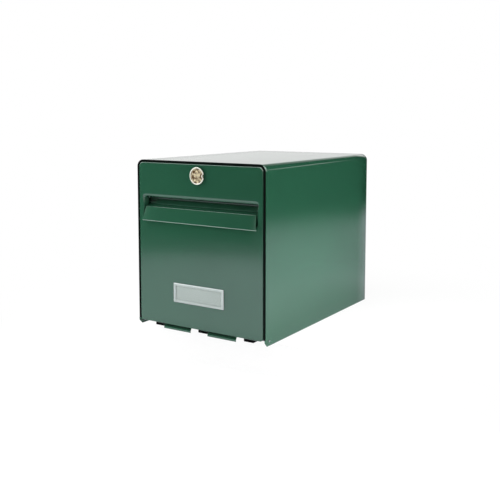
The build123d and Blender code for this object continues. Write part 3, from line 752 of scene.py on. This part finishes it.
def brassCover(look):
    # Polar surface: each ring keeps its distance inside the outline, which is a circle cut by the thumb
    # notch. The front's height adds a half-round rim, a ring of radial rays and a middle dome; the back is
    # flat.
    turn = np.linspace(0, -2 * np.pi, look["pointsPerRay"] * look["rays"] + 1)[:-1]
    toNotch = look["notchPlace"] * np.cos(turn)
    under = look["notch"] ** 2 - (look["notchPlace"] * np.sin(turn)) ** 2
    hit = np.where((under > 0) & (toNotch > 0), toNotch - np.sqrt(np.clip(under, 0, None)), look["radius"])
    outline = np.minimum(look["radius"], hit)
    centreZ = (coverLow[2] + coverHigh[2]) / 2
    backY, flatY, edge = coverHigh[1], coverHigh[1] - look["thick"], look["backEdge"]
    across = np.linspace(0.06, 1, 10) * np.pi  # round the rim seen in section
    inset, rise = look["rim"] * (1 - np.cos(across)) / 2, look["rimHeight"] * np.sin(across)
    rings = [(outline - edge, backY + 0 * turn), (outline, backY - edge + 0 * turn)]
    for distance, height in zip(inset, rise):
        rings.append((outline - distance, flatY - height + 0 * turn))
    rivet = (rivetLow + rivetHigh) / 2
    inside = outline - inset[-1]
    ripple = 0.5 + 0.5 * np.cos(look["rays"] * turn)
    for share in np.linspace(1, look["innermost"], look["innerRings"] + 1)[1:]:
        radius = inside * share
        alongRay = np.clip((radius - look["raysFrom"]) / (look["raysTo"] - look["raysFrom"]), 0, 1)
        rays = look["rayHeight"] * np.sin(np.pi * alongRay) ** look["rayFullness"] * ripple
        dome = look["domeHeight"] * np.sqrt(np.clip(1 - (radius / look["dome"]) ** 2, 0, 1))
        fromRivet = np.hypot(radius * np.cos(turn) - rivet[0], centreZ + radius * np.sin(turn) - rivet[2])
        clear = np.clip((fromRivet - look["rivetClear"]) / look["rivetFade"], 0, 1)
        rings.append((radius, flatY - (rays * clear + dome)))
    points = [np.column_stack([r * np.cos(turn), y, centreZ + r * np.sin(turn)]) for r, y in rings]
    count = len(turn)
    hub = [[0, flatY - look["domeHeight"], centreZ], [0, backY, centreZ]]
    allPoints = np.vstack([*points, hub])
    top, base = (len(rings) - 1) * count, len(allPoints) - 2
    step = np.arange(count)
    front = np.column_stack([top + step, np.full(count, base), top + (step + 1) % count])
    back = np.column_stack([step, (step + 1) % count, np.full(count, base + 1)])
    piece = makeMesh("brass_cover", allPoints, [gridFaces(len(rings), count, wrapColumns=True), front, back])
    setValues(piece, "paintedLight", np.hstack([ringPaintedLight(look["paintedLight"], len(rings), count), 0, 0]))
    return dress(piece, "brass", "dust_cover", "lock_dust_cover", sharp=60)


brassCover(cover)


# name plate frame

plate = {
    "border": 4.6,
    "bevel": 1.4,
    "bevelEdge": (0.25, 0.45),  # the bevel's outer edge is broken by this much inwards and forwards
    "land": 1.1,
    "landEdge": (0.3, 0.1),  # the flat's edges are eased by this much along it and down
    "round": 1.2,
    "leastRound": 0.15,
    "pocket": 1.2,
    "pocketEdge": 0.15,
    "lip": 1.6,
    "paintedLight": [-1, -1, 0.2],  # rings from the door: painted shade on the side, and a little painted highlight where it meets the bevel
}


def nameplateFrame(look):
    # Rings round the plate: out along its side, over the bevel and a narrow flat, down a slope to the
    # window, then back behind the lip that holds the window and card. Each ring is a rectangle with rounded
    # corners.
    half, height = plateHigh[0], plateHigh[2] - plateLow[2]
    middle = (plateHigh[2] + plateLow[2]) / 2
    deep = frontY - plateLow[1]
    bevel, border, pocket = look["bevel"], look["border"], look["pocket"]
    (edgeIn, edgeOut), (easeIn, easeDown) = look["bevelEdge"], look["landEdge"]
    landEnd, lipEnd = bevel + look["land"], border - look["lip"]
    section = [(0, 0), (0, deep - bevel), (edgeIn, deep - bevel + edgeOut), (bevel, deep - easeDown),
               (bevel + easeIn, deep), (landEnd, deep), (landEnd + easeIn, deep - easeDown),
               (border, pocket + look["pocketEdge"]), (border, pocket), (lipEnd, pocket), (lipEnd, 0)]
    rings = []
    for inset, rise in section:
        radius = max(look["round"] - inset, look["leastRound"])
        foot, head = middle - height / 2 + inset, middle + height / 2 - inset
        line = closedLoop(half - inset, foot, head, radius, radius)[:-1]
        rings.append(np.column_stack([line[:, 0], np.full(len(line), frontY - rise), line[:, 1]]))
    grid = np.array(rings)
    cells = gridFaces(*grid.shape[:2], wrapRows=True, wrapColumns=True)
    piece = makeMesh("bevelled_plate_frame", grid.reshape(-1, 3), [cells])
    setValues(piece, "paintedLight", ringPaintedLight(look["paintedLight"], *grid.shape[:2]))
    return dress(piece, "silver_frame", "door", "nameplate_frame", sharp=28)


nameplateFrame(plate)

card = {"gap": 0.06, "edge": 0.08, "corner": 0.8}


def nameCard(look):
    # A stack of rounded rectangles, the first and the last a little smaller. A hair's breadth keeps it off
    # the window.
    low, high = nodeBox("name_card")
    edge, corner, front, back = look["edge"], look["corner"], low[1] + look["gap"], high[1]
    rings = []
    for inset, y in ((edge, back), (0, back - edge), (0, front + edge), (edge, front)):
        line = closedLoop(high[0] - inset, low[2] + inset, high[2] - inset, corner, corner)[:-1]
        rings.append(np.column_stack([line[:, 0], np.full(len(line), y), line[:, 1]]))
    grid = np.array(rings)
    rows, columns = grid.shape[:2]
    cells = [gridFaces(rows, columns, wrapColumns=True), *endCaps(rows, columns, -1)]
    piece = makeMesh("paper_card", grid.reshape(-1, 3), cells)
    return dress(piece, "grey_card", "door", "name_card", sharp=50)


nameCard(card)


# floor, cards and light

stage = {
    "white": "ffffff",
    "mirrored": "f1f4ff",  # the floor as reflections see it
    "ownLight": 0.88,  # share of the floor's own light beside the box, where the rest is what the lamps give
    "fade": 420.0,  # this far from the box the share has risen to the whole
    # How bright reflections see the floor: the product of four ramps, each a factor that goes from its
    # first value to its second between two places.
    "slope": {"between": (-600.0, 330.0), "factor": (1.0, 0.46)},  # from the front right to the back left
    "end": {"between": (850.0, 1300.0), "factor": (1.0, 0.0)},  # with the distance from the middle
    "foot": {"between": (40.0, 200.0), "factor": (0.6, 1.0)},  # with the distance from the box: painted shadow that reflections see on the floor close to the box
    "ahead": {"between": (-330.0, -180.0), "factor": (1.45, 1.0)},  # along Y
    "endShape": (1.0, 0.6, 0.0),  # distances from the middle count less along Y
    "reach": 6000.0,
    "step": 60.0,  # the floor is this much lower ahead of the hems, clear of the open door
    "stepPlace": 33.0,
    "stepBends": (8.0, 1.0),
}


def seenWhite(tree, lit, level, share):
    # the level for camera, glossy and transmission rays, as far as the share says, and what the lamps give
    # otherwise
    path = addNode(tree, "ShaderNodeLightPath").outputs
    seen = path["Is Camera Ray"]
    for ray in ("Is Glossy Ray", "Is Transmission Ray"):
        seen = addNode(tree, "ShaderNodeMath", {"operation": "MAXIMUM"}, i0=seen, i1=path[ray]).outputs[0]
    weight = addNode(tree, "ShaderNodeMath", {"operation": "MULTIPLY"}, i0=seen, i1=share)
    return addNode(tree, "ShaderNodeMixShader", i0=weight.outputs[0], i1=lit.outputs[0], i2=level.outputs[0])


def floorFactor(tree, look, place, fromBox):
    # The product of the four ramps. Across is read along the floor's diagonal.
    across = addNode(tree, "ShaderNodeVectorMath", {"operation": "DOT_PRODUCT", 1: (-1, 1, 0)}, i0=place)
    shaped = addNode(tree, "ShaderNodeVectorMath", {"operation": "MULTIPLY", 1: look["endShape"]}, i0=place)
    distance = addNode(tree, "ShaderNodeVectorMath", {"operation": "LENGTH"}, i0=shaped.outputs[0])
    depth = addNode(tree, "ShaderNodeSeparateXYZ", Vector=place)
    places = {"slope": across.outputs["Value"], "end": distance.outputs["Value"], "foot": fromBox,
              "ahead": depth.outputs["Y"]}
    product = None
    for name, value in places.items():
        (near, far), (first, last) = look[name]["between"], look[name]["factor"]
        smooth = "SMOOTHSTEP" if name == "end" else "LINEAR"
        ramp = addNode(tree, "ShaderNodeMapRange",
                       {"interpolation_type": smooth, "From Min": near * mm, "From Max": far * mm,
                        "To Min": first, "To Max": last}, Value=value).outputs[0]
        if product is None:
            product = ramp
            continue
        both = addNode(tree, "ShaderNodeMath", {"operation": "MULTIPLY"}, i0=product, i1=ramp)
        product = both.outputs[0]
    return product


def whiteFloor(look):
    # A strip of floor carried along X: level under the box, and one step down ahead of its hems. The camera
    # sees it white, and reflections see it by the factor.
    reach, edge = look["reach"], frontY + look["stepPlace"]
    corners = [(-reach, -look["step"]), (edge, -look["step"]), (edge, 0), (reach, 0)]
    grid = alongX(roundedPath(corners, look["stepBends"], 15), -reach, reach, 3)
    floor = makeMesh("floor", grid.reshape(-1, 3), [gridFaces(*grid.shape[:2])])
    material = bpy.data.materials.new("whiteFloor")
    tree = emptyTree(material)
    lit = addNode(tree, "ShaderNodeBsdfDiffuse", {"Color": colour(look["white"])})
    place = addNode(tree, "ShaderNodeTexCoord").outputs["Object"]
    footprint = (casingHigh[0] * mm, casingHigh[1] * mm, look["reach"] * mm)
    steps = [{"operation": "ABSOLUTE"}, {"operation": "SUBTRACT", 1: footprint}, {"operation": "MAXIMUM"}]
    outside = place
    for step in steps:
        outside = addNode(tree, "ShaderNodeVectorMath", step, i0=outside).outputs[0]
    fromBox = addNode(tree, "ShaderNodeVectorMath", {"operation": "LENGTH"}, i0=outside).outputs["Value"]
    factor = floorFactor(tree, look, place, fromBox)
    camera = addNode(tree, "ShaderNodeLightPath").outputs["Is Camera Ray"]
    strength = addNode(tree, "ShaderNodeMath", {"operation": "MAXIMUM"}, i0=factor, i1=camera)
    tints = {"data_type": "RGBA", 6: colour(look["mirrored"]), 7: colour(look["white"])}
    tint = addNode(tree, "ShaderNodeMix", tints, i0=camera)
    own = addNode(tree, "ShaderNodeEmission", Color=tint.outputs[2], Strength=strength.outputs[0])
    share = addNode(tree, "ShaderNodeMapRange",
                    {"interpolation_type": "SMOOTHSTEP", "From Max": look["fade"] * mm,
                     "To Min": look["ownLight"]}, Value=fromBox)
    mixed = seenWhite(tree, lit, own, share.outputs[0])
    addNode(tree, "ShaderNodeOutputMaterial", Surface=mixed.outputs[0])
    floor.data.materials.append(material)


whiteFloor(stage)


def onlyMirrored(piece):
    # seen in reflections and nowhere else
    for kind in ("camera", "diffuse", "transmission", "shadow"):
        setattr(piece, "visible_" + kind, False)


cards = {
    "radius": 1800.0,
    "frontReach": 980.0,  # from the door's face to the curtain ahead of it
    "eye": 300.0,  # height that the angles are taken from
    "top": 75.0,  # rise of the curtain's upper edge
    "dome": 1.15,  # the curtain stands upright until it meets a dome this much wider, and then follows it
    "columns": 181,
    "rows": 61,
    "endFade": 2,
    # All but the density in degrees. The bearing is that of the card's middle, from the wall side round to
    # the right. A card fades beyond its half width, and thickens over the soft rise above its start.
    "panels": {
        "front": {"bearing": -147, "half": 25, "fade": 12, "start": -21, "soft": 6.5, "end": 33, "dense": 1},
        "side": {"bearing": 32, "half": 26, "fade": 8, "start": -8.5, "soft": 1.5, "end": 90, "dense": 1},
        "foot": {"bearing": 41.6, "half": 16.5, "fade": 4, "start": -90, "soft": 1, "end": -7, "dense": 1},
        "hood": {"bearing": 0, "half": 45, "fade": 12, "start": 15, "soft": 24, "end": 90, "dense": 1},
        "haze": {"bearing": -30, "half": 30, "fade": 12, "start": -90, "soft": 1, "end": 9, "dense": 0.16},
    },
}


def darkCards(look):
    # A curtain round the set, seen only in reflections: black where a card stands and clear elsewhere. A
    # point of it lies at a bearing and at a rise above the eye height, and where cards overlap the densest
    # one counts.
    turn = np.linspace(-180, 180, look["columns"])
    facing = np.clip(-np.cos(np.radians(turn)), 0, 1)
    radius = look["radius"] + (look["frontReach"] - frontY - look["radius"]) * facing
    base = np.degrees(np.arctan2(-stage["step"] - look["eye"], radius))
    rise = base[:, None] + (look["top"] - base)[:, None] * np.linspace(0, 1, look["rows"])
    cover = 0 * rise
    for panel in look["panels"].values():
        away = abs((turn - panel["bearing"] + 180) % 360 - 180)[:, None]
        across = np.clip((panel["half"] + panel["fade"] - away) / panel["fade"], 0, 1)
        above = np.clip((rise - panel["start"]) / panel["soft"], 0, 1)
        below = np.clip((panel["end"] + look["endFade"] / 2 - rise) / look["endFade"], 0, 1)
        cover = np.maximum(cover, panel["dense"] * across * above * below)
    flat = radius[:, None] * np.minimum(1, np.cos(np.radians(rise)) * look["dome"])
    height = look["eye"] + flat * np.tan(np.radians(rise))
    bearing = np.radians(turn)[:, None]
    grid = np.stack([flat * np.sin(bearing), flat * np.cos(bearing), height], axis=-1)
    curtain = makeMesh("dark_cards", grid.reshape(-1, 3), [gridFaces(*grid.shape[:2])])
    setValues(curtain, "cover", cover)
    material, tree, _, shader = newMaterial("darkCard")
    shader.inputs["Base Color"].default_value = colour("000000")
    shader.inputs["Specular IOR Level"].default_value = 0.0
    thick = addNode(tree, "ShaderNodeAttribute", {"attribute_name": "cover"})
    tree.links.new(thick.outputs["Fac"], shader.inputs["Alpha"])
    curtain.data.materials.append(material)
    onlyMirrored(curtain)


darkCards(cards)

strip = {
    "bearing": (27.0, 48.0),
    "rise": (10.5, 14.0),
    "radius": 1100.0,
    "strength": 1.6,
    "fade": 5.0,  # degrees over which it comes up from its first bearing
    "columns": 25,
    "rows": 5,
}


def lightStrip(look):
    # A lit band behind the right of the box, seen only in reflections: it draws the line along the top bend.
    turn = np.linspace(*look["bearing"], look["columns"])
    rise = np.linspace(*look["rise"], look["rows"])
    bearing, up = np.radians(turn)[:, None], np.radians(rise)[None, :]
    grid = np.stack(np.broadcast_arrays(np.sin(bearing) * look["radius"], np.cos(bearing) * look["radius"],
                                        cards["eye"] + np.tan(up) * look["radius"]), axis=-1)
    band = makeMesh("light_strip", grid.reshape(-1, 3), [gridFaces(*grid.shape[:2])])
    glow = np.clip((turn - look["bearing"][0]) / look["fade"], 0, 1)
    setValues(band, "glow", np.repeat(glow, look["rows"]))
    material = bpy.data.materials.new("lightStrip")
    tree = emptyTree(material)
    share = addNode(tree, "ShaderNodeAttribute", {"attribute_name": "glow"}).outputs["Fac"]
    shine = addNode(tree, "ShaderNodeEmission", {"Strength": look["strength"]}).outputs[0]
    clear = addNode(tree, "ShaderNodeBsdfTransparent").outputs[0]
    mixed = addNode(tree, "ShaderNodeMixShader", i0=share, i1=clear, i2=shine)
    addNode(tree, "ShaderNodeOutputMaterial", Surface=mixed.outputs[0])
    band.data.materials.append(material)
    onlyMirrored(band)


lightStrip(strip)

boxMiddle = (0, 0, 150)
lamps = {
    "key": {"place": (700, -1100, 1250), "aim": boxMiddle, "size": 350, "power": 2.5, "colour": "fffdf8"},
    "left": {"place": (-760, -640, 1290), "aim": boxMiddle, "size": 1000, "power": 10.0, "colour": "f8fbff"},
    "leftFill": {"place": (-900, -500, 300), "aim": boxMiddle, "size": 700, "power": 9.0, "colour": "ffffff"},
    "right": {"place": (1300, -160, 350), "aim": boxMiddle, "size": 800, "power": 12.0, "colour": "ffffff"},
    "rightFill": {"place": (400, -60, 230), "aim": (400, -60, 0), "size": 300, "power": 1.2,
                  "colour": "ffffff"},
    "top": {"place": (0, 100, 1400), "aim": boxMiddle, "size": 900, "power": 6.0, "colour": "ffffff"},
}
mirroredLamps = ("key", "left")  # the others give light and aren't seen in reflections


def softLamps(look):
    # square lamps, none seen by the camera
    for name, lamp in look.items():
        light = bpy.data.lights.new(name, "AREA")
        light.shape, light.size, light.energy = "SQUARE", lamp["size"] * mm, lamp["power"]
        light.color = colour(lamp["colour"])[:3]
        holder = bpy.data.objects.new(name, light)
        holder.location = Vector(lamp["place"]) * mm
        aim = Vector(lamp["aim"]) * mm - holder.location
        holder.rotation_euler = aim.to_track_quat("-Z", "Y").to_euler()
        holder.visible_camera, holder.visible_glossy = False, name in mirroredLamps
        bpy.context.scene.collection.objects.link(holder)


softLamps(lamps)

studio = {"white": "ffffff", "ambient": 0.24}


def studioWorld(look):
    # white wherever the camera or a reflection looks, and a plain soft light for everything else
    world = bpy.data.worlds.new("studio")
    tree = emptyTree(world)
    tint = colour(look["white"])
    soft = addNode(tree, "ShaderNodeBackground", {"Color": tint, "Strength": look["ambient"]})
    white = addNode(tree, "ShaderNodeBackground", {"Color": tint, "Strength": 1.0})
    whole = addNode(tree, "ShaderNodeValue")
    whole.outputs[0].default_value = 1.0
    mixed = seenWhite(tree, soft, white, whole.outputs[0])
    addNode(tree, "ShaderNodeOutputWorld", Surface=mixed.outputs[0])
    bpy.context.scene.world = world


studioWorld(studio)
bpy.context.scene.view_settings.view_transform = "Standard"
print("stage and light set")
